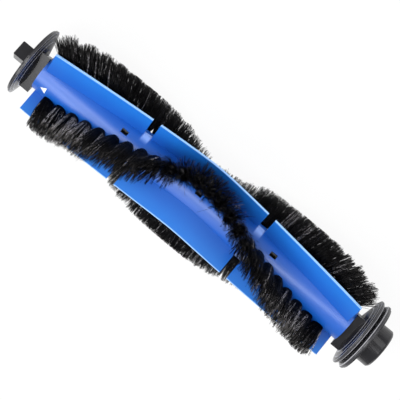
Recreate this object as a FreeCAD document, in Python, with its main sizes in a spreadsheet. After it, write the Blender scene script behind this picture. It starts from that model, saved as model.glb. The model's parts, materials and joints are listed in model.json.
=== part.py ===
import FreeCAD, Part
import math
import os
import Sketcher

# Roller brush of a robot vacuum: a round core with three V-shaped wiper blades and three V-shaped rows
# of tufts, a square drive peg at one end and a free-turning bearing cap at the other.
# Every piece is drawn about the spin axis, which is X, with X = 0 at the middle of the core and the
# drive end at +X. Angles about the axis are counted from the line of windows. A common placement then
# turns the brush as it comes to rest on its tufts and lifts it onto Z = 0.

SIZES = (
    # Core tube
    ("core_length", 146.6),
    ("core_radius", 7.7),
    ("core_bore", 3.6),
    ("window_length", 2.9),
    ("window_width", 1.9),
    ("window_spacing", 35.5),
    ("arrow_length", 3.0),
    ("arrow_width", 3.8),
    ("arrow_depth", 0.3),
    ("arrow_inset", 2.6),
    ("arrow_angle", -62.0),
    # Wiper blades
    ("blade_inset", 1.4),
    ("blade_radius", 16.7),
    ("blade_tip_thickness", 0.8),
    ("blade_root_thickness", 1.6),
    ("blade_foot_depth", 1.2),
    ("blade_fit", 0.04),
    ("blade_root_middle", 63.5),
    ("blade_root_sweep", 67.0),
    ("blade_tip_middle", 42.8),
    ("blade_tip_sweep", 29.0),
    ("notch_width", 3.4),
    ("notch_spacing", 54.2),
    ("notch_shift", 1.1),
    ("notch_floor", 0.05),
    ("apex_round", 6.0),
    # Tufts
    ("tuft_count", 24),
    ("tuft_pitch", 5.65),
    ("tuft_tip_pitch", 5.85),
    ("tuft_radius", 20.4),
    ("tuft_hole_side", 3.2),
    ("tuft_hole_depth", 2.8),
    ("tuft_collar", 0.3),
    ("tuft_tip_side", 5.6),
    ("tuft_root_middle", 20.0),
    ("tuft_root_sweep", 110.0),
    ("tuft_tip_middle", 8.5),
    ("tuft_tip_sweep", 87.5),
    # Hubs at both ends
    ("spigot_length", 14.0),
    ("spigot_fit", 0.04),
    ("neck_corner_radius", 10.2),
    ("neck_corner_angle", 15.0),
    ("guard_radius", 14.5),
    ("guard_cone_radius", 7.2),
    ("guard_cone_height", 1.9),
    ("guard_lip", 0.75),
    ("guard_step", 0.6),
    ("guard_bevel", 1.0),
    ("drive_neck_length", 3.2),
    ("bearing_neck_length", 2.9),
    ("bearing_rim", 0.7),
    # Drive peg
    ("peg_side", 6.2),
    ("peg_length", 6.35),
    ("peg_chamfer", 0.3),
    # Bearing end
    ("cap_gap", 0.5),
    ("boss_radius", 8.2),
    ("boss_length", 6.45),
    ("boss_edge", 0.8),
    ("axle_radius", 1.5),
    ("axle_grip", 12.0),
    ("axle_running_fit", 0.03),
    ("head_radius", 2.9),
    ("head_height", 1.4),
    ("bush_radius", 3.0),
    ("bush_length", 5.0),
    ("washer_radius", 5.5),
    ("head_washer_radius", 3.6),
    ("washer_thickness", 0.4),
    ("axial_play", 0.1),
    ("recess_radius", 5.2),
    ("cover_thickness", 0.8),
    ("cover_inset", 0.3),
)

ROWS = 3
STEP_ANGLE = 360.0 / ROWS
BLADE_STATIONS = 24
WINDOWS = 3
# How far a cutting shape reaches past the face that it cuts
OVERCUT = 1.0
AXIS = FreeCAD.Vector(1, 0, 0)

doc = FreeCAD.newDocument("RollerBrush")
sheet = doc.addObject("Spreadsheet::Sheet", "Sizes")
for row, (alias, value) in enumerate(SIZES, start=1):
    sheet.set(f"A{row}", alias)
    sheet.set(f"B{row}", str(value))
    sheet.setAlias(f"B{row}", alias)
doc.recompute()


def size(alias):
    """Value of one driving dimension."""
    return float(sheet.get(alias))


def formula(text):
    """Expression on the sheet, written with bare aliases."""
    for alias in sorted((name for name, _ in SIZES), key=len, reverse=True):
        text = text.replace("{" + alias + "}", "Sizes." + alias)
    return text


def bind(item, prop, text):
    """Ties a property to an expression on the sheet."""
    item.setExpression(prop, formula(text))


def polar(radius, angle):
    """Point about the axis, as a vector in the plane X = 0."""
    turn = math.radians(angle)
    return FreeCAD.Vector(0, radius * math.cos(turn), radius * math.sin(turn))


# Stations along the axis, as expressions on the sheet
CORE_END = "{core_length} / 2"
DRIVE_NECK = CORE_END + " + {drive_neck_length}"
DRIVE_CONE = DRIVE_NECK + " + {guard_cone_height}"
DRIVE_LIP = DRIVE_CONE + " + {guard_lip}"
DRIVE_FACE = DRIVE_LIP + " + {guard_step}"
PEG_END = DRIVE_FACE + " + {peg_length}"
BEARING_NECK = CORE_END + " + {bearing_neck_length}"
BEARING_CONE = BEARING_NECK + " + {guard_cone_height}"
BEARING_RIM = BEARING_CONE + " + {bearing_rim}"
BEARING_FACE = BEARING_RIM + " + {guard_bevel}"
CAP_FACE = BEARING_FACE + " + {cap_gap}"
CAP_BEVEL = CAP_FACE + " + {guard_bevel}"
CAP_LIP = CAP_BEVEL + " + {guard_lip}"
CAP_SHOULDER = CAP_LIP + " + {guard_step}"
BOSS_END = CAP_SHOULDER + " + {boss_length}"
BUSH_END = CAP_FACE + " + {bush_length}"
HEAD_SEAT = BUSH_END + " + 2 * {axial_play} + {washer_thickness}"
SPIGOT_END = CORE_END + " - {spigot_length}"
SPIGOT = "{core_bore} - {spigot_fit}"
GUARD_STEP = "{guard_radius} - {guard_step}"
GUARD_EDGE = "{guard_radius} - {guard_bevel}"


def mirrored(station):
    """The same station on the bearing side, where X is negative."""
    return f"-({station})"


def origin_plane(body, role):
    """One of a body's own origin planes."""
    return next(plane for plane in body.Origin.OriginFeatures if plane.Role == role)


def outline(body, name, role, corners):
    """Closed sketch of straight edges, each corner tied to a pair of expressions."""
    sketch = body.newObject("Sketcher::SketchObject", name)
    sketch.AttachmentSupport = [(origin_plane(body, role), "")]
    sketch.MapMode = "FlatFace"
    points = []
    for across, up in corners:
        x = float(sheet.evalExpression(formula(across)))
        y = float(sheet.evalExpression(formula(up)))
        points.append(FreeCAD.Vector(x, y, 0))
    for index, point in enumerate(points):
        after = points[(index + 1) % len(points)]
        sketch.addGeometry(Part.LineSegment(point, after), False)
    for index in range(len(points)):
        following = (index + 1) % len(points)
        sketch.addConstraint(Sketcher.Constraint("Coincident", index, 2, following, 1))
    for index, (across, up) in enumerate(corners):
        for kind, text, value in (("DistanceX", across, points[index].x), ("DistanceY", up, points[index].y)):
            number = sketch.addConstraint(Sketcher.Constraint(kind, -1, 1, index, 1, value))
            sketch.setExpression(f"Constraints[{number}]", formula(text))
    return sketch


def turned(body, name, corners):
    """Solid of revolution about the axis, from corners given as station and radius."""
    sketch = outline(body, name + "Profile", "XZ_Plane", corners)
    revolution = body.newObject("PartDesign::Revolution", name)
    revolution.Profile = sketch
    revolution.ReferenceAxis = (sketch, ["H_Axis"])
    revolution.Angle = 360
    return revolution


def new_body(name):
    """Empty body with its own label."""
    body = doc.addObject("PartDesign::Body", name)
    body.Label = name
    return body


def neck(body, start, length):
    """Three-cornered neck, its corners in line with the blades' ends."""
    prism = body.newObject("PartDesign::AdditivePrism", "Neck")
    prism.AttachmentSupport = [(origin_plane(body, "YZ_Plane"), "")]
    prism.MapMode = "FlatFace"
    prism.Polygon = ROWS
    bind(prism, "Circumradius", "{neck_corner_radius}")
    bind(prism, "Height", length)
    bind(prism, "AttachmentOffset.Base.z", start)
    bind(prism, "AttachmentOffset.Rotation.Angle", "{neck_corner_angle}")
    return prism


def make_drive_hub():
    """Spigot, neck, hair guard with a stepped rim and square peg, moulded in one."""
    body = new_body("drive_hub")
    turned(body, "Guard", (
        (SPIGOT_END, "0"),
        (SPIGOT_END, SPIGOT),
        (DRIVE_NECK, SPIGOT),
        (DRIVE_NECK, "{guard_cone_radius}"),
        (DRIVE_CONE, "{guard_radius}"),
        (DRIVE_LIP, "{guard_radius}"),
        (DRIVE_LIP, GUARD_STEP),
        (DRIVE_FACE, GUARD_STEP),
        (DRIVE_FACE, "0"),
    ))
    neck(body, CORE_END, "{drive_neck_length} + {guard_cone_height}")
    half = "{peg_side} / 2"
    square = outline(body, "PegSquare", "YZ_Plane", (
        (f"-{half}", f"-{half}"),
        (half, f"-{half}"),
        (half, half),
        (f"-{half}", half),
    ))
    bind(square, "AttachmentOffset.Base.z", DRIVE_CONE)
    peg = body.newObject("PartDesign::Pad", "Peg")
    peg.Profile = square
    bind(peg, "Length", f"{PEG_END} - ({DRIVE_CONE})")
    doc.recompute()
    faces = peg.Shape.Faces
    end = max(range(len(faces)), key=lambda index: faces[index].CenterOfMass.x)
    chamfer = body.newObject("PartDesign::Chamfer", "PegLeadIn")
    chamfer.Base = (peg, [f"Face{end + 1}"])
    bind(chamfer, "Size", "{peg_chamfer}")
    return body


def make_bearing_hub():
    """Spigot, neck and hair guard, bored for the axle pin."""
    body = new_body("bearing_hub")
    turned(body, "Guard", (
        (mirrored(SPIGOT_END), "{axle_radius}"),
        (mirrored(SPIGOT_END), SPIGOT),
        (mirrored(BEARING_NECK), SPIGOT),
        (mirrored(BEARING_NECK), "{guard_cone_radius}"),
        (mirrored(BEARING_CONE), "{guard_radius}"),
        (mirrored(BEARING_RIM), "{guard_radius}"),
        (mirrored(BEARING_FACE), GUARD_EDGE),
        (mirrored(BEARING_FACE), "{axle_radius}"),
    ))
    neck(body, mirrored(BEARING_CONE), "{bearing_neck_length} + {guard_cone_height}")
    hole = body.newObject("PartDesign::SubtractiveCylinder", "AxleHole")
    hole.AttachmentSupport = [(origin_plane(body, "YZ_Plane"), "")]
    hole.MapMode = "FlatFace"
    bind(hole, "Radius", "{axle_radius}")
    bind(hole, "Height", f"{BEARING_FACE} - ({SPIGOT_END})")
    bind(hole, "AttachmentOffset.Base.z", mirrored(BEARING_FACE))
    return body


def make_bearing_cap():
    """Stepped hair guard and boss that turn on the axle, recessed at the outer end for the pin's head."""
    body = new_body("bearing_cap")
    turned(body, "Cap", (
        (mirrored(CAP_FACE), "{bush_radius}"),
        (mirrored(CAP_FACE), GUARD_EDGE),
        (mirrored(CAP_BEVEL), "{guard_radius}"),
        (mirrored(CAP_LIP), "{guard_radius}"),
        (mirrored(CAP_LIP), GUARD_STEP),
        (mirrored(CAP_SHOULDER), GUARD_STEP),
        (mirrored(CAP_SHOULDER), "{boss_radius}"),
        (f"{{boss_edge}} - ({BOSS_END})", "{boss_radius}"),
        (mirrored(BOSS_END), "{boss_radius} - {boss_edge}"),
        (mirrored(BOSS_END), "{recess_radius}"),
        (mirrored(BUSH_END), "{recess_radius}"),
        (mirrored(BUSH_END), "{bush_radius}"),
    ))
    return body


def make_axle_pin():
    """Headed steel pin, gripped by the hub and running in the bush."""
    body = new_body("axle_pin")
    inner_end = f"{{axle_grip}} - ({BEARING_FACE})"
    head_end = mirrored(HEAD_SEAT) + " - {head_height}"
    turned(body, "Pin", (
        (inner_end, "0"),
        (inner_end, "{axle_radius}"),
        (mirrored(HEAD_SEAT), "{axle_radius}"),
        (mirrored(HEAD_SEAT), "{head_radius}"),
        (head_end, "{head_radius}"),
        (head_end, "0"),
    ))
    return body


def make_ring(name, inner_end, outer_radius, inner_radius, length):
    """Plain ring on the bearing side, from its inner end outwards."""
    pair = []
    for suffix, radius in (("Disc", outer_radius), ("Bore", inner_radius)):
        cylinder = doc.addObject("Part::Cylinder", name + suffix)
        cylinder.Placement.Rotation = FreeCAD.Rotation(FreeCAD.Vector(0, 1, 0), -90)
        bind(cylinder, "Placement.Base.x", mirrored(inner_end))
        bind(cylinder, "Radius", radius)
        bind(cylinder, "Height", length)
        pair.append(cylinder)
    ring = doc.addObject("Part::Cut", name)
    ring.Label = name
    ring.Base, ring.Tool = pair
    return ring


def make_cap_cover():
    """Disc that closes the cap's recess."""
    body = new_body("cap_cover")
    outer = f"{{cover_inset}} - ({BOSS_END})"
    inner = outer + " + {cover_thickness}"
    turned(body, "Cover", (
        (inner, "0"),
        (inner, "{recess_radius}"),
        (outer, "{recess_radius}"),
        (outer, "0"),
    ))
    return body


def v_angle(station, middle, sweep, half_span):
    """Angle of a V-shaped line about the axis: its middle angle, less a sweep that grows to both ends."""
    rounding = size("apex_round")
    reach = math.hypot(station, rounding) - rounding
    full_reach = math.hypot(half_span, rounding) - rounding
    return middle - sweep * reach / full_reach


def blade_half_length():
    """Half the length of a blade."""
    return size("core_length") / 2 - size("blade_inset")


def blade_section(station, turn):
    """Corners of a blade's section: a foot in the groove and a leaning web that tapers to its tip."""
    half_span = blade_half_length()
    root = v_angle(station, size("blade_root_middle"), size("blade_root_sweep"), half_span) + turn
    tip = v_angle(station, size("blade_tip_middle"), size("blade_tip_sweep"), half_span) + turn
    outward = polar(1, root)
    foot = outward * (size("core_radius") - size("blade_foot_depth"))
    start = outward * size("core_radius")
    end = polar(size("blade_radius"), tip)
    half_root = polar(size("blade_root_thickness") / 2, root + 90)
    half_tip = AXIS.cross(end - start).normalize() * (size("blade_tip_thickness") / 2)
    corners = (foot - half_root, foot + half_root, start + half_root, end + half_tip, end - half_tip,
               start - half_root)
    return [corner + AXIS * station for corner in corners]


def groove_section(station, turn):
    """Corners of the groove that takes a blade's foot, open past the core's surface."""
    root = v_angle(station, size("blade_root_middle"), size("blade_root_sweep"), blade_half_length()) + turn
    outward = polar(1, root)
    half = polar(size("blade_root_thickness") / 2 + size("blade_fit"), root + 90)
    floor = outward * (size("core_radius") - size("blade_foot_depth"))
    mouth = outward * (size("core_radius") + OVERCUT)
    corners = (floor - half, floor + half, mouth + half, mouth - half)
    return [corner + AXIS * station for corner in corners]


def lofted(section, turn, half_span):
    """Solid through equally spaced sections along the axis."""
    wires = []
    for index in range(BLADE_STATIONS + 1):
        station = half_span * (2 * index / BLADE_STATIONS - 1)
        wires.append(Part.makePolygon(section(station, turn), True))
    return Part.makeLoft(wires, True, False)


def make_blade(number):
    """One wiper blade, notched twice down to the core."""
    shape = lofted(blade_section, STEP_ANGLE * number, blade_half_length())
    inner = size("core_radius") + size("notch_floor")
    outer = size("blade_radius") + OVERCUT
    width = size("notch_width")
    for side in (-1, 1):
        start = AXIS * (size("notch_shift") + side * size("notch_spacing") / 2 - width / 2)
        ring = Part.makeCylinder(outer, width, start, AXIS).cut(Part.makeCylinder(inner, width, start, AXIS))
        shape = shape.cut(ring)
    blade = doc.addObject("Part::Feature", f"blade_{number + 1}")
    blade.Label = f"blade_{number + 1}"
    blade.Shape = shape
    return blade


def tuft_stations():
    """Places of one row's tufts along the axis."""
    count = int(size("tuft_count"))
    return [(index - (count - 1) / 2) * size("tuft_pitch") for index in range(count)]


def tuft_rings(station, turn):
    """Centre, side and crosswise vector of a tuft's sections at its foot, at its mouth and at its tips."""
    half_span = tuft_stations()[-1]
    root = v_angle(station, size("tuft_root_middle"), size("tuft_root_sweep"), half_span) + turn
    tip = v_angle(station, size("tuft_tip_middle"), size("tuft_tip_sweep"), half_span) + turn
    outward = polar(1, root)
    across = polar(1, root + 90)
    # The mouth lies parallel to the tips, which are trimmed square to the roller's own radius
    trimmed = across - outward * math.tan(math.radians(tip - root))
    place = AXIS * station
    foot = outward * (size("core_radius") - size("tuft_hole_depth")) + place
    mouth = outward * (size("core_radius") + size("tuft_collar")) + place
    end = polar(size("tuft_radius"), tip) + place * (size("tuft_tip_pitch") / size("tuft_pitch"))
    hole = size("tuft_hole_side")
    return (foot, hole, across), (mouth, hole, trimmed), (end, size("tuft_tip_side"), trimmed)


def tuft_section(centre, side, across):
    """Corners of a tuft's square section, with flats towards its neighbours in the row."""
    half = side / 2
    signs = ((1, 1), (-1, 1), (-1, -1), (1, -1))
    return [centre + AXIS * (half * along) + across * (half * aside) for along, aside in signs]


def flat_sided(sections):
    """Solid with flat faces from each section to the next, closed at both ends."""
    outlines = [sections[0][::-1], sections[-1]]
    for lower, upper in zip(sections, sections[1:]):
        for corner in range(len(lower)):
            after = (corner + 1) % len(lower)
            outlines.append([lower[corner], lower[after], upper[after], upper[corner]])
    shell = Part.makeShell([Part.Face(Part.makePolygon(corners, True)) for corners in outlines])
    shell.sewShape()
    return Part.makeSolid(shell)


def make_tuft(station, turn):
    """One tuft: a straight foot in its hole and bristles that lean and splay to the tips."""
    return flat_sided([tuft_section(*ring) for ring in tuft_rings(station, turn)])


def make_tuft_hole(station, turn):
    """Cutting shape of the hole that takes a tuft's foot."""
    (foot, side, across), (mouth, _, _), _ = tuft_rings(station, turn)
    return flat_sided([tuft_section(centre, side, across) for centre in (foot, mouth * 2 - foot)])


def make_bristle_row(number):
    """One V-shaped row of tufts."""
    row = doc.addObject("Part::Feature", f"bristle_row_{number + 1}")
    row.Label = f"bristle_row_{number + 1}"
    row.Shape = Part.makeCompound([make_tuft(station, STEP_ANGLE * number) for station in tuft_stations()])
    return row


def make_window(station):
    """Cutting shape of a square window through the core's wall."""
    length = size("window_length")
    width = size("window_width")
    depth = size("core_radius") - size("core_bore") / 2 + OVERCUT
    corner = FreeCAD.Vector(station - length / 2, size("core_bore") / 2, -width / 2)
    return Part.makeBox(length, depth, width, corner)


def make_arrow():
    """Cutting shape of the shallow arrow that points to the drive end."""
    tip = size("core_length") / 2 - size("arrow_inset")
    floor = math.sqrt(size("core_radius") ** 2 - (size("arrow_width") / 2) ** 2) - size("arrow_depth")
    outward = polar(1, size("arrow_angle"))
    half = polar(size("arrow_width") / 2, size("arrow_angle") + 90)
    back = outward * floor + AXIS * (tip - size("arrow_length"))
    corners = [outward * floor + AXIS * tip, back + half, back - half]
    return Part.Face(Part.makePolygon(corners, True)).extrude(outward * (2 * OVERCUT))


def make_core():
    """Hollow core with the grooves, tuft holes, windows and arrow cut into it."""
    pair = []
    for name, radius in (("CoreBar", "{core_radius}"), ("CoreBore", "{core_bore}")):
        cylinder = doc.addObject("Part::Cylinder", name)
        cylinder.Placement.Rotation = FreeCAD.Rotation(FreeCAD.Vector(0, 1, 0), -90)
        bind(cylinder, "Placement.Base.x", CORE_END)
        bind(cylinder, "Radius", radius)
        bind(cylinder, "Height", "{core_length}")
        pair.append(cylinder)
    tube = doc.addObject("Part::Cut", "CoreTube")
    tube.Base, tube.Tool = pair
    cutters = [make_arrow()]
    for number in range(ROWS):
        turn = STEP_ANGLE * number
        cutters.append(lofted(groove_section, turn, blade_half_length()))
        cutters.extend(make_tuft_hole(station, turn) for station in tuft_stations())
    for index in range(WINDOWS):
        cutters.append(make_window((index - (WINDOWS - 1) / 2) * size("window_spacing")))
    openings = doc.addObject("Part::Feature", "CoreOpenings")
    openings.Shape = Part.makeCompound(cutters)
    core = doc.addObject("Part::Cut", "brush_core")
    core.Label = "brush_core"
    core.Base = tube
    core.Tool = openings
    return core


pieces = [make_core(), make_drive_hub(), make_bearing_hub(), make_bearing_cap(), make_axle_pin(), make_cap_cover()]
pieces.append(make_ring("bearing_bush", CAP_FACE, "{bush_radius}", "{axle_radius} + {axle_running_fit}",
                        "{bush_length}"))
pieces.append(make_ring("thrust_washer", BEARING_FACE, "{washer_radius}",
                        "{axle_radius} + {axle_running_fit}", "{washer_thickness}"))
pieces.append(make_ring("head_washer", HEAD_SEAT + " - {washer_thickness}", "{head_washer_radius}",
                        "{axle_radius} + {axle_running_fit}", "{washer_thickness}"))
pieces.extend(make_blade(number) for number in range(ROWS))
rows = [make_bristle_row(number) for number in range(ROWS)]
pieces.extend(rows)
doc.recompute()

# At rest the gap between the middle of one row's tips and the ends of the next row's faces straight down
rest_turn = FreeCAD.Rotation(AXIS, 90 - size("tuft_tip_middle") + size("tuft_tip_sweep") / 2)
tip_heights = [rest_turn.multVec(vertex.Point).z for row in rows for vertex in row.Shape.Vertexes]
drive_reach = float(sheet.evalExpression(formula(PEG_END)))
bearing_reach = float(sheet.evalExpression(formula(BOSS_END)))
rest_place = FreeCAD.Vector((bearing_reach - drive_reach) / 2, 0, -min(tip_heights))
for piece in pieces:
    piece.Placement = FreeCAD.Placement(rest_place, rest_turn)
doc.recompute()

for item in doc.Objects:
    if "Invalid" in item.State or "Error" in item.State:
        raise RuntimeError(f"{item.Label} failed: {item.State}")
for piece in pieces:
    if piece.Shape.isNull() or not piece.Shape.isValid():
        raise RuntimeError(f"{piece.Label} has no valid shape")

os.makedirs("parts", exist_ok=True)
for piece in pieces:
    piece.Shape.exportStep(f"parts/{piece.Label}.step")
    print(piece.Label, len(piece.Shape.Solids), "solids", round(piece.Shape.Volume, 1), "mm3")
print("axis height", round(rest_place.z, 3), "core shift", round(rest_place.x, 3))
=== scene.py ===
"""Looks of the roller brush: blue moulded core, soft blades, black ends and rows of nylon filaments."""
import json
import math
import bmesh
import bpy
import numpy as np
from mathutils import Matrix, Vector


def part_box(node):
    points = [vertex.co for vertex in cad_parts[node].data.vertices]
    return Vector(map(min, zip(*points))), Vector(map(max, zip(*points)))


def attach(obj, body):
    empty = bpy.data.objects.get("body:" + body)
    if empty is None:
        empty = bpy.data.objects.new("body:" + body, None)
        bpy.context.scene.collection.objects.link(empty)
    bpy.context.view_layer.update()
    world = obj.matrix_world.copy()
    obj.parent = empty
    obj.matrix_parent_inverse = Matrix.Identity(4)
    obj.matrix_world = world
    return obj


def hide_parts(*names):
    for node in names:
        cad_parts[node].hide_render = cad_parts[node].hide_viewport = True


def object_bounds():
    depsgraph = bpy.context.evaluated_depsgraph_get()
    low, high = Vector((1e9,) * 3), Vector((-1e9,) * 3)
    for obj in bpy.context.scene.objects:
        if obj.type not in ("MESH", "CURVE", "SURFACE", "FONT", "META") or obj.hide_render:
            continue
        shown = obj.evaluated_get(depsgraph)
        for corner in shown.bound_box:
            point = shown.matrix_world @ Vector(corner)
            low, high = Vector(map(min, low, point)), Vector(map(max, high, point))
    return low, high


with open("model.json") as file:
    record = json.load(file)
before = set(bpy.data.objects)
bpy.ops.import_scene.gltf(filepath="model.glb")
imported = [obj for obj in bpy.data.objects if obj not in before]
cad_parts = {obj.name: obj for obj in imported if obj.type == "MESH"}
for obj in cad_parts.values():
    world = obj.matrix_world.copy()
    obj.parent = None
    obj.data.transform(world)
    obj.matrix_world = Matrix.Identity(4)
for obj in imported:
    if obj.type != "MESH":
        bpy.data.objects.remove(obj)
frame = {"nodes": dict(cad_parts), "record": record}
cad_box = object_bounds()
nodes = frame["nodes"]

MM = 0.001
ROLLER = "roller"
ROWS = 3
BLADES = 3
SEED = 41

# The spin axis runs along X at the height of the drive peg
AXIS_HEIGHT = next(m["pos_m"][2] for m in frame["record"]["mounts"] if m["name"] == "drive_peg")
CORE_LOW, CORE_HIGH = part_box("brush_core")
CORE_RADIUS = (CORE_HIGH.y - CORE_LOW.y) / 2
CORE_MIDDLE = (CORE_HIGH.x + CORE_LOW.x) / 2
CORE_HALF = (CORE_HIGH.x - CORE_LOW.x) / 2

# Camera: above the resting brush, with the axis running down to the right across the picture
VIEW_DISTANCE = 550 * MM
VIEW_ELEVATION = math.radians(66.75)
AXIS_SLOPE = math.radians(39.76)
LENS_MM = 133.0
AIM_ALONG = -0.25 * MM
CLIP_START = 10 * MM

# Soft boxes, in metres: name, place, the point that it faces, width along the brush, height and watts
CENTRE = (0, 0, AXIS_HEIGHT)
SOFT_BOXES = (
    ("key", (0.08, -0.08, 0.5), (0.08, 0, AXIS_HEIGHT), 0.76, 0.17, 2.15),
    ("fill", (-0.26, -0.36, 0.3), CENTRE, 0.25, 0.25, 0.45),
    ("back", (0.18, 0.23, 0.5), CENTRE, 0.3, 0.34, 1.9),
)
SURROUND_STRENGTH = 0.42

# Floor: half of its side, its drop under the part, and how white the camera and reflections see it
FLOOR_HALF = 3.0
FLOOR_DROP = 0.1 * MM
WHITE_TO_CAMERA = 0.93
WHITE_IN_REFLECTIONS = 0.25

# Painted light on the walls of the core's windows and bore, a pale grey where they lie in shade: depth
# under its skin, and the unpainted length at its ends
WINDOW_LIGHT_START = 0.8 * MM
WINDOW_LIGHT_FULL = 1.4 * MM
PLAIN_END = 1.0 * MM
PLAIN_FADE = 3.0 * MM

# Small arrow by the drive end, filled white
ARROW_ANGLE = math.radians(63.25)
ARROW_LENGTH = 3.0 * MM
ARROW_WIDTH = 3.8 * MM
ARROW_INSET = 2.6 * MM

# Notches of the blades, whose floors get painted light, a pale patch for light falling through each notch:
# places along the axis, and one blade's root angle there
NOTCH_MIDDLE = CORE_MIDDLE + 1.1 * MM
NOTCH_SPACING = 54.2 * MM
NOTCH_WIDTH = 3.4 * MM
NOTCH_ROOT = math.radians(164)
# Where the painted notch light ends and is full: past and inside a notch's sides, round the core and up the
# blade
NOTCH_BLEED = 0.2 * MM
NOTCH_FADE = 0.5 * MM
PATCH_END = 4.6 * MM
PATCH_FULL = 1.5 * MM
NOTCH_FLOOR_END = 0.5 * MM
NOTCH_FLOOR_FULL = 0.2 * MM

# Radius of the blades at the middle of their edges, and their painted edge highlight, measured in from it
BLADE_RADIUS = 16.7 * MM
BLADE_EDGE_START = 0.35 * MM
BLADE_EDGE_FULL = 0.05 * MM

# Rounds on the black moulded ends
WELD_REACH = 0.002 * MM
EDGE_ROUND = 0.2 * MM
ROUND_SEGMENTS = 2
SHARP_ANGLE = math.radians(35)

# Painted highlight on the rims of the hair guards, measured in from their radius, and how strong it is
HUB_LOW, HUB_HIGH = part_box("drive_hub")
RIM_RADIUS = (HUB_HIGH.y - HUB_LOW.y) / 2
RIM_START = 0.25 * MM
RIM_FULL = 0.05 * MM
RIM_HIGHLIGHT = 0.06
# Painted highlight rings on the hair guards' faces: radius and half width, of which a share is at full
# strength
GUARD_RINGS = ((10.5 * MM, 0.25 * MM), (12.6 * MM, 0.15 * MM), (14.1 * MM, 0.18 * MM))
RING_FULL = 0.4

# Filaments of a tuft, which grow from a four-cornered solid
TUFT_CORNERS = 4
CORNER_REACH = 0.01 * MM
FILAMENTS = 410
FILAMENT_RADIUS = 0.085 * MM
FILAMENT_SIDES = 3
FILAMENT_RINGS = 4
RING_CROWDING = 1.5
TIP_TAPER = 0.55
ROOT_SINK = 0.5 * MM
ROOT_SPREAD = 1.35
BELLY_PLACE = 0.3
BELLY_LEAN = 0.8
BELLY_SPREAD = 1.3
BOW_SCATTER = 0.25 * MM
TIP_SPREAD = 1.42
TIP_FLARE = 0.6
TIP_SCATTER = 0.2 * MM
LENGTH_SCATTER = 0.2 * MM
TRIMMED_OFF = 0.3 * MM
STRAY_SHARE = 0.03
STRAY_SCATTER = 1.7 * MM
GOLDEN_ANGLE = math.pi * (3 - math.sqrt(5))
# A direction that no filament runs in, from which the corners of its rings are set out
RING_REFERENCE = np.array((1.0, 0.013, 0.027))

# Locks of a tuft: how many, how far they draw together at the tips, and how their lengths and painted
# glints differ
LOCKS = 80
LOCK_PULL = 0.55
LOCK_SCATTER = 0.3 * MM
LOCK_GLINT = 0.85

# How the tufts lie: each a little askew, and stretches of a row pushed over, opened or splayed at its ends
TUFT_TURN = math.radians(1.8)
TUFT_DRIFT = 0.4 * MM
# Row, place along the axis, half length of the stretch and turn of the tips about the axis
PUSHED = (
    (1, 23 * MM, 10 * MM, math.radians(-18)),
    (1, 42 * MM, 16 * MM, math.radians(-10)),
    (1, -38 * MM, 22 * MM, math.radians(-6)),
    (2, 0 * MM, 14 * MM, math.radians(8)),
    (2, 66 * MM, 12 * MM, math.radians(-6)),
    (2, -66 * MM, 12 * MM, math.radians(-6)),
)
# Row, place along the axis, half length of the stretch and how much wider its tufts open at their tips
OPENED = (
    (1, 3 * MM, 18 * MM, 0.45),
)
# Row, side along the axis, where the splay starts and how far the last tips move out, or in below 0
SPLAYED = (
    (1, 1, 40 * MM, -6.6 * MM),
    (1, -1, 40 * MM, -3.8 * MM),
    (2, 1, 15 * MM, 6.0 * MM),
    (2, -1, 15 * MM, 6.0 * MM),
)
SPLAY_END = 65 * MM
SPLAY_CURVE = 1.5
# Row, place along the axis, half length of the stretch and the share of its filaments that get a painted
# glint
GLINT_STRETCHES = (
    (1, 53 * MM, 9 * MM, 0.42),
    (1, -54 * MM, 10 * MM, 0.32),
    (2, 48 * MM, 12 * MM, 0.035),
    (2, -36 * MM, 12 * MM, 0.05),
    (3, 0 * MM, 40 * MM, 0.05),
)
GLINTS_ELSEWHERE = 0.014
# Tone of the other filaments: the palest, and how rare pale ones are
DULL_TONE = 0.13
DULL_POWER = 5


def srgb(red, green, blue):
    """Linear colour of an 8-bit display colour."""
    def linear(value):
        share = value / 255
        return share / 12.92 if share <= 0.04045 else ((share + 0.055) / 1.055) ** 2.4
    return (linear(red), linear(green), linear(blue), 1.0)


# Colours of the finishes, in pairs where a finish varies between two tones
CORE_BLUES = (srgb(9, 77, 168), srgb(16, 90, 186))
# Pale grey painted on the walls of the windows and bore: painted light where they lie in shade
WINDOW_PAINTED_LIGHT = srgb(150, 148, 138)
ARROW_WHITE = srgb(243, 246, 248)
# Painted light on the notch floors, for light falling through the notches
PAINTED_NOTCH_LIGHT = srgb(128, 166, 240)
# Blade blues from root to edge: the darker root is painted crease shade, the paler thin part partly the
# rubber's own look
BLADE_SHADED_ROOT_BLUES = (srgb(17, 83, 179), srgb(22, 109, 200))
# Painted highlight along the blades' edges
BLADE_EDGE_HIGHLIGHT = srgb(150, 196, 250)
END_BLACKS = (srgb(22, 22, 24), srgb(42, 42, 46))
# Painted highlight grey for the guards' rims and rings
HIGHLIGHT_GREY = srgb(170, 170, 176)
# Shaft tones: the dark nylon, and a pale painted glint
SHAFT_TONE_AND_GLINT = (srgb(3, 3, 5), srgb(232, 228, 234))
# Cut tip tones: dark, and a painted glint on the tips
CUT_TONE_AND_GLINT = (srgb(4, 4, 5), srgb(86, 83, 82))
STEEL_TONES = (srgb(178, 178, 182), srgb(206, 206, 208))
BRONZE_TONES = (srgb(92, 62, 36), srgb(190, 140, 84))
WASHER_TONES = (srgb(222, 218, 206), srgb(238, 236, 228))
FLOOR_TONES = (srgb(236, 236, 236), srgb(244, 244, 244))
WHITE = (1.0, 1.0, 1.0, 1.0)


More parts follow.
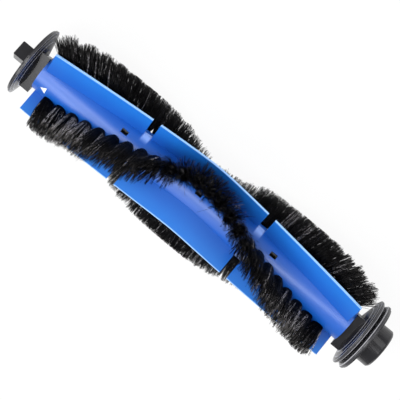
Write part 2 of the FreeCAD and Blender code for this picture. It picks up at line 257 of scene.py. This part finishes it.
class Socket:
    """A shader value in an expression: arithmetic on it adds Math nodes to its finish."""

    def __init__(self, finish, socket):
        self.finish = finish
        self.socket = socket

    def math(self, operation, *operands):
        return self.finish.node("ShaderNodeMath", {"operation": operation}, dict(enumerate(operands)))

    def __add__(self, other):
        return self.math("ADD", self, other)

    def __radd__(self, other):
        return self.math("ADD", other, self)

    def __sub__(self, other):
        return self.math("SUBTRACT", self, other)

    def __rsub__(self, other):
        return self.math("SUBTRACT", other, self)

    def __mul__(self, other):
        return self.math("MULTIPLY", self, other)

    def __rmul__(self, other):
        return self.math("MULTIPLY", other, self)

    def __mod__(self, other):
        return self.math("FLOORED_MODULO", self, other)

    def __gt__(self, other):
        return self.math("GREATER_THAN", self, other)

    def __lt__(self, other):
        return self.math("LESS_THAN", self, other)

    def __abs__(self):
        return self.math("ABSOLUTE", self)

    def sqrt(self):
        return self.math("SQRT", self)

    def atan2(self, other):
        return self.math("ARCTAN2", self, other)


class Finish:
    """One procedural material, built around a single surface shader."""

    def __init__(self, name):
        self.material = bpy.data.materials.new(name)
        self.material.use_nodes = True
        self.tree = self.material.node_tree
        self.tree.nodes.clear()

    def node(self, kind, settings=None, values=None, output=0):
        """Adds a node: its settings first, then its sockets' values or links. Gives one of its outputs."""
        node = self.tree.nodes.new(kind)
        for name, value in (settings or {}).items():
            setattr(node, name, value)
        for key, value in (values or {}).items():
            if isinstance(value, Socket):
                self.tree.links.new(value.socket, node.inputs[key])
            else:
                node.inputs[key].default_value = value
        return Socket(self, node.outputs[output]) if node.outputs else None

    def place(self):
        """Position on the piece, in metres in the part's own frame."""
        return self.node("ShaderNodeTexCoord", output="Object")

    def split(self, vector):
        """The X, Y and Z of a vector."""
        parts = self.node("ShaderNodeSeparateXYZ", values={"Vector": vector})
        return [Socket(self, parts.socket.node.outputs[index]) for index in range(3)]

    def axis_polar(self, place):
        """Distance along the axis, distance from it and angle about it, from +Y towards +Z."""
        along, across, height = self.split(place)
        up = height - AXIS_HEIGHT
        return along, (across * across + up * up).sqrt(), up.atan2(across)

    def attribute(self, name):
        """A number that the mesh holds for each of its corners."""
        return self.node("ShaderNodeAttribute", {"attribute_name": name}, output="Fac")

    def noise(self, place, scale, detail=2.0, roughness=0.5):
        """Soft noise from 0 to 1, with scale cells to the metre."""
        return self.node("ShaderNodeTexNoise", None, {
            "Vector": place, "Scale": scale, "Detail": detail, "Roughness": roughness})

    def stretched(self, place, stretch):
        """The same place, scaled by a factor along each axis."""
        return self.node("ShaderNodeVectorMath", {"operation": "MULTIPLY"}, {0: place, 1: stretch})

    def ramp(self, value, start, full):
        """0 up to start, 1 from full on and a smooth change between, upwards or downwards."""
        return self.node("ShaderNodeMapRange", {"interpolation_type": "SMOOTHSTEP"}, {
            "Value": value, "From Min": start, "From Max": full, "To Min": 0.0, "To Max": 1.0})

    def mix(self, first, second, factor):
        """Blend of two colours."""
        return self.node("ShaderNodeMix", {"data_type": "RGBA"}, {0: factor, 6: first, 7: second}, output=2)

    def bump(self, height, distance, strength):
        """Normal bent by a height from 0 to 1 that stands for a real distance."""
        return self.node("ShaderNodeBump", None, {
            "Height": height, "Distance": distance, "Strength": strength})

    def surface(self, values):
        """Ends the material in one Principled shader."""
        shader = self.node("ShaderNodeBsdfPrincipled", None, values)
        return self.end(shader)

    def end(self, shader):
        """Ends the material in the given shader."""
        self.node("ShaderNodeOutputMaterial", None, {"Surface": shader})
        return self.material


def notches(finish, along):
    """1 at the notches' stretches of the axis, 0 elsewhere."""
    from_notch = abs(abs(along - NOTCH_MIDDLE) - NOTCH_SPACING / 2)
    return finish.ramp(from_notch, start=NOTCH_WIDTH / 2 + NOTCH_BLEED, full=NOTCH_WIDTH / 2 - NOTCH_FADE)


def arrow_mask(along, angle):
    """1 on the arrow, whose tip points to the drive end, 0 elsewhere."""
    back = (CORE_HIGH.x - ARROW_INSET) - along
    half = back * (ARROW_WIDTH / 2 / ARROW_LENGTH)
    beside = abs(angle - ARROW_ANGLE) * CORE_RADIUS
    return (back > 0) * (back < ARROW_LENGTH) * (beside < half)


def core_plastic():
    """Satin blue moulding: flow clouds, mould grain, painted light on the notch floors and on the walls of
    the windows and bore, and a white arrow.
    """
    finish = Finish("core_plastic")
    place = finish.place()
    along, radius, angle = finish.axis_polar(place)
    clouds = finish.noise(finish.stretched(place, (0.35, 1.0, 1.0)), scale=90.0, detail=3.0)
    grain = finish.noise(place, scale=2600.0)
    # Painted light on the core under each notch: a pale patch from the blade's root round the core
    from_root = ((NOTCH_ROOT - angle) % (2 * math.pi / BLADES)) * CORE_RADIUS
    notch_light = notches(finish, along) * finish.ramp(from_root, start=PATCH_END, full=PATCH_FULL)
    from_middle = abs(along - CORE_MIDDLE)
    between_ends = finish.ramp(from_middle, start=CORE_HALF - PLAIN_END, full=CORE_HALF - PLAIN_FADE)
    # Painted light: pale grey on the walls of the windows and bore, away from the core's ends
    inside = finish.ramp(radius, start=CORE_RADIUS - WINDOW_LIGHT_START, full=CORE_RADIUS - WINDOW_LIGHT_FULL)
    blue = finish.mix(*CORE_BLUES, clouds)
    notch_lit = finish.mix(blue, PAINTED_NOTCH_LIGHT, notch_light)
    window_lit = finish.mix(notch_lit, WINDOW_PAINTED_LIGHT, inside * between_ends)
    return finish.surface({
        "Base Color": finish.mix(window_lit, ARROW_WHITE, arrow_mask(along, angle)),
        "Roughness": 0.3 + clouds * 0.08 + grain * 0.05,
        "Normal": finish.bump(grain, distance=0.02 * MM, strength=0.35),
        "Specular IOR Level": 0.62,
        "IOR": 1.52,
    })


def blade_rubber():
    """Soft blue strip, darker at its root as painted crease shade and paler where it thins towards its
    edge, with a painted edge highlight, painted light on the notch floors and faint draw lines along it.
    """
    finish = Finish("blade_rubber")
    place = finish.place()
    along, radius, _ = finish.axis_polar(place)
    lines = finish.noise(finish.stretched(place, (0.12, 1.0, 1.0)), scale=700.0)
    clouds = finish.noise(place, scale=120.0, detail=3.0)
    # Painted crease shade: darker towards the blade's root, paler as it thins
    root_shade_and_thinning = finish.ramp(radius, start=CORE_RADIUS, full=BLADE_RADIUS)
    # Painted highlight along the blade's edge
    edge_highlight = finish.ramp(radius, start=BLADE_RADIUS - BLADE_EDGE_START, full=BLADE_RADIUS - BLADE_EDGE_FULL)
    # Painted notch light on the blade's foot at the notch floors
    low = finish.ramp(radius, start=CORE_RADIUS + NOTCH_FLOOR_END, full=CORE_RADIUS + NOTCH_FLOOR_FULL)
    body = finish.mix(*BLADE_SHADED_ROOT_BLUES, root_shade_and_thinning * 0.8 + clouds * 0.2)
    notch_lit = finish.mix(body, PAINTED_NOTCH_LIGHT, notches(finish, along) * low)
    return finish.surface({
        "Base Color": finish.mix(notch_lit, BLADE_EDGE_HIGHLIGHT, edge_highlight),
        "Roughness": 0.38 + lines * 0.12,
        "Normal": finish.bump(lines, distance=0.03 * MM, strength=0.3),
        "Specular IOR Level": 0.4,
        "IOR": 1.5,
    })


def end_plastic():
    """Black moulding with a fine spark-eroded grain, turning marks, and painted highlights on its rims and
    on rings of the guards.
    """
    finish = Finish("end_plastic")
    place = finish.place()
    _, radius, _ = finish.axis_polar(place)
    grain = finish.noise(place, scale=3200.0, detail=3.0, roughness=0.6)
    clouds = finish.noise(place, scale=160.0, detail=3.0)
    marks = finish.noise(finish.stretched(place, (4.0, 0.2, 0.2)), scale=900.0, detail=1.0)
    # Painted highlights on the guards' rims and rings
    painted_highlights = finish.ramp(radius, start=RIM_RADIUS - RIM_START, full=RIM_RADIUS - RIM_FULL) * RIM_HIGHLIGHT
    for ring, half_width in GUARD_RINGS:
        painted_highlights = painted_highlights + finish.ramp(abs(radius - ring), start=half_width, full=half_width * RING_FULL)
    return finish.surface({
        "Base Color": finish.mix(finish.mix(*END_BLACKS, clouds), HIGHLIGHT_GREY, painted_highlights),
        "Roughness": 0.18 + grain * 0.08 + marks * 0.06,
        "Normal": finish.bump(grain, distance=0.02 * MM, strength=0.2),
        "Specular IOR Level": 0.36,
        "IOR": 1.5,
    })


def bristle_nylon():
    """Black nylon filaments, each of its own tone, with painted glints broken along the shaft and a cut tip
    that carries a painted glint in step with its tone.
    """
    finish = Finish("bristle_nylon")
    tone = finish.attribute("tone")
    reach = finish.attribute("reach")
    speckle = finish.noise(finish.place(), scale=2400.0)
    # Painted glints, broken along the shaft, out along each filament
    painted_glint = finish.ramp(speckle, start=0.48, full=0.6) * finish.ramp(reach, start=0.15, full=0.55)
    shaft = finish.mix(*SHAFT_TONE_AND_GLINT, tone * painted_glint)
    # Painted glint on the cut tips, in step with each filament's tone
    tip_glint = finish.mix(*CUT_TONE_AND_GLINT, finish.ramp(tone, start=DULL_TONE * 0.4, full=DULL_TONE))
    return finish.surface({
        "Base Color": finish.mix(shaft, tip_glint, finish.ramp(reach, start=0.9, full=0.97)),
        "Roughness": 0.26 + speckle * 0.16,
        "Specular IOR Level": 0.1,
        "IOR": 1.53,
    })


def turned_steel():
    """Bright steel with fine turning marks round the axis."""
    finish = Finish("steel")
    marks = finish.noise(finish.stretched(finish.place(), (6.0, 0.3, 0.3)), scale=1500.0)
    return finish.surface({
        "Base Color": finish.mix(*STEEL_TONES, marks),
        "Metallic": 1.0,
        "Roughness": 0.22 + marks * 0.14,
        "Normal": finish.bump(marks, distance=0.01 * MM, strength=0.4),
    })


def sintered_bronze():
    """Porous bronze, darker in its oil-filled pores."""
    finish = Finish("bronze")
    from_pore = finish.node("ShaderNodeTexVoronoi", None, {
        "Vector": finish.place(), "Scale": 4200.0}, output="Distance")
    clear = finish.ramp(from_pore, start=0.12, full=0.4)
    return finish.surface({
        "Base Color": finish.mix(*BRONZE_TONES, clear),
        "Metallic": 1.0,
        "Roughness": 0.6 - clear * 0.2,
        "Normal": finish.bump(clear, distance=0.03 * MM, strength=0.6),
    })


def washer_nylon():
    """Natural nylon, milky with faint flow clouds."""
    finish = Finish("washer_nylon")
    clouds = finish.noise(finish.place(), scale=420.0, detail=3.0)
    return finish.surface({
        "Base Color": finish.mix(*WASHER_TONES, clouds),
        "Roughness": 0.4 + clouds * 0.15,
        "Normal": finish.bump(clouds, distance=0.02 * MM, strength=0.3),
    })


def floor_finish():
    """Pale floor that the camera sees as almost white, with a light shadow of the part."""
    finish = Finish("pale_floor")
    tooth = finish.noise(finish.place(), scale=60.0, detail=3.0)
    paper = finish.node("ShaderNodeBsdfDiffuse", None, {"Color": finish.mix(*FLOOR_TONES, tooth)})
    white = finish.node("ShaderNodeEmission", None, {"Color": WHITE, "Strength": 1.0})
    camera_rays = finish.node("ShaderNodeLightPath", output="Is Camera Ray")
    glossy_rays = finish.node("ShaderNodeLightPath", output="Is Glossy Ray")
    share = camera_rays * WHITE_TO_CAMERA + glossy_rays * WHITE_IN_REFLECTIONS
    return finish.end(finish.node("ShaderNodeMixShader", None, {0: share, 1: paper, 2: white}))


def soften_edges(piece):
    """Small moulded rounds on a piece's sharp edges."""
    weld = piece.modifiers.new("weld", "WELD")
    weld.merge_threshold = WELD_REACH
    rounds = piece.modifiers.new("rounds", "BEVEL")
    rounds.width = EDGE_ROUND
    rounds.segments = ROUND_SEGMENTS
    rounds.limit_method = "ANGLE"
    rounds.angle_limit = SHARP_ANGLE
    rounds.harden_normals = True


def dress_cad_nodes(finishes):
    """Gives every CAD node the finish of its own slot."""
    for subpart in frame["record"]["subparts"]:
        piece = nodes[subpart["node"]]
        piece.data.materials.clear()
        piece.data.materials.append(finishes[subpart["material_slot"]])
        if subpart["material_slot"] == "end_plastic":
            soften_edges(piece)


def from_axis(points):
    """Distance of each point from the spin axis."""
    return np.hypot(points[:, 1], points[:, 2] - AXIS_HEIGHT)


def widest(node):
    """Largest distance of a CAD node's corners from the spin axis."""
    return from_axis(np.array([corner.co for corner in node.data.vertices])).max()


def tuft_islands(node):
    """The corner points of each tuft solid of a row, as one array per tuft, in order along the axis."""
    mesh = bmesh.new()
    mesh.from_mesh(node.data)
    bmesh.ops.remove_doubles(mesh, verts=mesh.verts, dist=CORNER_REACH)
    waiting = set(mesh.verts)
    islands = []
    while waiting:
        front = [waiting.pop()]
        island = []
        while front:
            corner = front.pop()
            island.append(tuple(corner.co))
            for link in corner.link_edges:
                other = link.other_vert(corner)
                if other in waiting:
                    waiting.remove(other)
                    front.append(other)
        islands.append(np.array(sorted(island)))
    mesh.free()
    return sorted(islands, key=lambda island: island[:, 0].mean())


def tuft_rings(island):
    """Foot, mouth and tip of a tuft solid: the centre and half width of each of these rings of corners."""
    order = island[np.argsort(from_axis(island))]
    rings = np.split(order, (TUFT_CORNERS, 2 * TUFT_CORNERS))
    centres = [ring.mean(axis=0) for ring in rings]
    halves = [np.abs(ring[:, 0] - centre[0]).mean() for ring, centre in zip(rings, centres)]
    return centres, halves


def disc_axes(direction):
    """Two unit vectors across a tuft: along the spin axis and across it."""
    along = np.array((1.0, 0.0, 0.0))
    across = np.cross(along, direction)
    across /= np.linalg.norm(across)
    return np.stack((np.cross(direction, across), across))


def turned_about_axis(point, angle):
    """A point turned about the spin axis, from +Y towards +Z."""
    across, up = point[1], point[2] - AXIS_HEIGHT
    cosine, sine = math.cos(angle), math.sin(angle)
    return np.array((point[0], across * cosine - up * sine, AXIS_HEIGHT + across * sine + up * cosine))


def along_row(stretches, row, station):
    """Sum of a row's stretches at a place along the axis, each fading out from its middle."""
    total = 0.0
    for stretch_row, middle, half_length, most in stretches:
        if row == stretch_row:
            total += most * math.exp(-((station - middle) / half_length) ** 2)
    return total


def settled_tip(row, mouth, tip, chance):
    """Middle of a tuft's tips as the bristles really lie."""
    station = mouth[0] - CORE_MIDDLE
    turn = chance.normal() * TUFT_TURN + along_row(PUSHED, row, station)
    drift = chance.normal() * TUFT_DRIFT
    for splayed_row, side, start, reach in SPLAYED:
        share = (side * station - start) / (SPLAY_END - start)
        if row == splayed_row and share > 0:
            drift += side * reach * share ** SPLAY_CURVE
    moved = turned_about_axis(tip, turn) + np.array((drift, 0.0, 0.0)) - mouth
    return mouth + moved * (np.linalg.norm(tip - mouth) / np.linalg.norm(moved))


def tuft_spots(chance):
    """Even places of the filaments across a tuft of radius 1, on a spiral that starts at any angle."""
    number = np.arange(FILAMENTS)
    share = np.sqrt((number + 0.5) / FILAMENTS)
    turn = number * GOLDEN_ANGLE + chance.uniform(0, 2 * math.pi)
    return np.stack((np.cos(turn), np.sin(turn)), axis=1) * share[:, None]


def drawn_into_locks(spot, chance):
    """Each filament's lock, and its place across the tuft once the lock's tips draw together."""
    middles = spot[chance.choice(FILAMENTS, LOCKS, replace=False)]
    lock = np.linalg.norm(spot[:, None] - middles[None], axis=2).argmin(axis=1)
    return lock, spot + (middles[lock] - spot) * LOCK_PULL


def filament_ends(tip, lean, half, lock, gathered, chance):
    """Free ends of a tuft's filaments: flared by lock, scattered, with strays, and of uneven lengths."""
    stray = np.where(chance.random(FILAMENTS) < STRAY_SHARE, STRAY_SCATTER, TIP_SCATTER)
    scatter = chance.normal(size=(FILAMENTS, 2)) * stray[:, None]
    flare = half * (TIP_SPREAD + TIP_FLARE * chance.random(LOCKS) ** 2)[lock]
    own_length = chance.normal(size=FILAMENTS) * LENGTH_SCATTER
    lock_length = (chance.normal(size=LOCKS) * LOCK_SCATTER)[lock]
    longer = TRIMMED_OFF + own_length + lock_length
    across = (gathered * flare[:, None] + scatter) @ disc_axes(lean)
    return tip + across + lean * longer[:, None]


def bowed_lines(root, belly, end):
    """Centres of each filament's rings, on a curve bent by its belly, closer together at the root."""
    steps = (np.linspace(0, 1, FILAMENT_RINGS) ** RING_CROWDING)[None, :, None]
    rest = 1 - steps
    return root[:, None] * rest ** 2 + belly[:, None] * 2 * steps * rest + end[:, None] * steps ** 2


def filament_tones(glint_share, lock, chance):
    """Tone of each filament: 1 where it gets a painted glint, which goes by whole locks, and dull
    elsewhere.
    """
    glint_lock = chance.random(LOCKS) < glint_share / LOCK_GLINT
    glinting = glint_lock[lock] & (chance.random(FILAMENTS) < LOCK_GLINT)
    return np.where(glinting, 1.0, DULL_TONE * chance.random(FILAMENTS) ** DULL_POWER)


def tuft_filaments(row, island, chance):
    """Centre lines of one tuft's filaments, an array of filament, ring and coordinate, and their tones."""
    (foot, mouth, tip), (_, mouth_half, tip_half) = tuft_rings(island)
    station = mouth[0] - CORE_MIDDLE
    tip = settled_tip(row, mouth, tip, chance)
    length = np.linalg.norm(tip - mouth)
    outward = (mouth - foot) / np.linalg.norm(mouth - foot)
    lean = (tip - mouth) / length
    spot = tuft_spots(chance)
    lock, gathered = drawn_into_locks(spot, chance)
    root = mouth - outward * ROOT_SINK + spot @ disc_axes(outward) * (mouth_half * ROOT_SPREAD)
    opening = 1 + along_row(OPENED, row, station)
    end = filament_ends(tip, lean, tip_half * opening, lock, gathered, chance)
    rise = outward * (1 - BELLY_LEAN) + lean * BELLY_LEAN
    belly = mouth + rise * (length * BELLY_PLACE) + spot @ disc_axes(lean) * (tip_half * BELLY_SPREAD)
    belly += chance.normal(size=(FILAMENTS, 3)) * BOW_SCATTER
    # Share of filaments with a painted glint along this stretch of the row
    tones = filament_tones(GLINTS_ELSEWHERE + along_row(GLINT_STRETCHES, row, station), lock, chance)
    return bowed_lines(root, belly, end), tones


def kept_inside(lines, reach_limit):
    """The same lines, drawn in to a distance from the axis and to the part's own box."""
    flat = lines.reshape(-1, 3)
    shrink = np.minimum(1.0, reach_limit / from_axis(flat))
    flat[:, 1] *= shrink
    flat[:, 2] = AXIS_HEIGHT + (flat[:, 2] - AXIS_HEIGHT) * shrink
    low, high = (np.array(corner) for corner in cad_box)
    return np.clip(flat, low + FILAMENT_RADIUS, high - FILAMENT_RADIUS).reshape(lines.shape)


def filament_points(lines):
    """Corners of the filaments' rings, which taper towards the tip."""
    heading = np.gradient(lines, axis=1)
    heading /= np.linalg.norm(heading, axis=2, keepdims=True)
    first = np.cross(heading, RING_REFERENCE)
    first /= np.linalg.norm(first, axis=2, keepdims=True)
    second = np.cross(heading, first)
    radius = FILAMENT_RADIUS * np.linspace(1.0, TIP_TAPER, FILAMENT_RINGS)[None, :, None, None]
    turn = np.arange(FILAMENT_SIDES) * 2 * math.pi / FILAMENT_SIDES
    around = first[:, :, None] * np.cos(turn)[:, None] + second[:, :, None] * np.sin(turn)[:, None]
    return (lines[:, :, None] + around * radius).reshape(-1, 3)


def filament_faces(count):
    """Triangles of the three-sided filaments and of their closed ends."""
    pattern = []
    for ring in range(FILAMENT_RINGS - 1):
        low = ring * FILAMENT_SIDES
        high = low + FILAMENT_SIDES
        for side in range(FILAMENT_SIDES):
            after = (side + 1) % FILAMENT_SIDES
            pattern.append((low + side, low + after, high + after))
            pattern.append((low + side, high + after, high + side))
    last = (FILAMENT_RINGS - 1) * FILAMENT_SIDES
    pattern.append((0, 2, 1))
    pattern.append((last, last + 1, last + 2))
    first_corners = np.arange(count) * FILAMENT_RINGS * FILAMENT_SIDES
    return (np.array(pattern)[None] + first_corners[:, None, None]).reshape(-1, 3)


def filament_mesh(name, lines, tones):
    """Mesh of the filaments along the given centre lines, with the tone and reach of each corner."""
    points = filament_points(lines)
    faces = filament_faces(len(lines))
    mesh = bpy.data.meshes.new(name)
    mesh.vertices.add(len(points))
    mesh.vertices.foreach_set("co", points.astype(np.float32).ravel())
    mesh.loops.add(faces.size)
    mesh.loops.foreach_set("vertex_index", faces.astype(np.int32).ravel())
    mesh.polygons.add(len(faces))
    mesh.polygons.foreach_set("loop_start", np.arange(0, faces.size, 3, dtype=np.int32))
    mesh.polygons.foreach_set("use_smooth", np.ones(len(faces), dtype=bool))
    tone = np.repeat(tones, FILAMENT_RINGS * FILAMENT_SIDES)
    reach = np.tile(np.repeat(np.linspace(0, 1, FILAMENT_RINGS), FILAMENT_SIDES), len(lines))
    for attribute, data in (("tone", tone), ("reach", reach)):
        layer = mesh.attributes.new(attribute, "FLOAT", "POINT")
        layer.data.foreach_set("value", data.astype(np.float32))
    mesh.update(calc_edges=True)
    mesh.validate()
    return mesh


def grow_bristle_row(number, nylon):
    """Filaments of one row, grown from the place of each of its tuft solids."""
    node = nodes[f"bristle_row_{number}"]
    chance = np.random.default_rng(SEED + number)
    reach_limit = widest(node) - FILAMENT_RADIUS
    tufts = [tuft_filaments(number, island, chance) for island in tuft_islands(node)]
    lines = kept_inside(np.concatenate([lines for lines, _ in tufts]), reach_limit)
    tones = np.concatenate([tones for _, tones in tufts])
    name = f"filaments_{number}"
    piece = bpy.data.objects.new(name, filament_mesh(name, lines, tones))
    bpy.context.scene.collection.objects.link(piece)
    piece.data.materials.append(nylon)
    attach(piece, ROLLER)
    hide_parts(node.name)


def set_camera():
    """Camera at the photograph's angle: the axis runs to the lower right of the picture."""
    towards = Vector((0, -math.cos(VIEW_ELEVATION), math.sin(VIEW_ELEVATION)))
    level_right = Vector((-1, 0, 0))
    level_up = towards.cross(level_right)
    right = level_right * math.cos(AXIS_SLOPE) + level_up * math.sin(AXIS_SLOPE)
    up = towards.cross(right)
    camera = bpy.data.objects.new("camera", bpy.data.cameras.new("camera"))
    camera.data.lens = LENS_MM
    camera.data.clip_start = CLIP_START
    place = Vector((AIM_ALONG, 0, AXIS_HEIGHT)) + towards * VIEW_DISTANCE
    turn = Matrix((right, up, towards)).transposed().to_4x4()
    camera.matrix_world = Matrix.Translation(place) @ turn
    bpy.context.scene.collection.objects.link(camera)
    bpy.context.scene.camera = camera


def soft_box(name, place, target, width, height, power):
    """Rectangular soft light that faces a point, its width along the brush."""
    light = bpy.data.lights.new(name, "AREA")
    light.shape = "RECTANGLE"
    light.size = width
    light.size_y = height
    light.energy = power
    lamp = bpy.data.objects.new(name, light)
    back = (Vector(place) - Vector(target)).normalized()
    along = Vector((1, 0, 0))
    along = (along - back * along.dot(back)).normalized()
    turn = Matrix((along, back.cross(along), back)).transposed().to_4x4()
    lamp.matrix_world = Matrix.Translation(place) @ turn
    bpy.context.scene.collection.objects.link(lamp)


def set_surround():
    """Even pale light from all sides."""
    world = bpy.data.worlds.new("surround")
    bpy.context.scene.world = world
    world.use_nodes = True
    background = world.node_tree.nodes["Background"]
    background.inputs["Color"].default_value = WHITE
    background.inputs["Strength"].default_value = SURROUND_STRENGTH


def lay_floor():
    """Wide floor under the part."""
    mesh = bpy.data.meshes.new("floor")
    corners = [(x * FLOOR_HALF, y * FLOOR_HALF, 0) for x, y in ((-1, -1), (1, -1), (1, 1), (-1, 1))]
    mesh.from_pydata(corners, [], [(0, 1, 2, 3)])
    mesh.materials.append(floor_finish())
    floor = bpy.data.objects.new("floor", mesh)
    floor.location.z = -FLOOR_DROP
    bpy.context.scene.collection.objects.link(floor)


finishes_by_slot = {
    "core_plastic": core_plastic(),
    "blade_rubber": blade_rubber(),
    "end_plastic": end_plastic(),
    "bristle_nylon": bristle_nylon(),
    "washer_nylon": washer_nylon(),
    "steel": turned_steel(),
    "bronze": sintered_bronze(),
}
dress_cad_nodes(finishes_by_slot)
for row_number in range(1, ROWS + 1):
    grow_bristle_row(row_number, finishes_by_slot["bristle_nylon"])
set_camera()
for box in SOFT_BOXES:
    soft_box(*box)
set_surround()
lay_floor()
bpy.context.scene.view_settings.view_transform = "Standard"
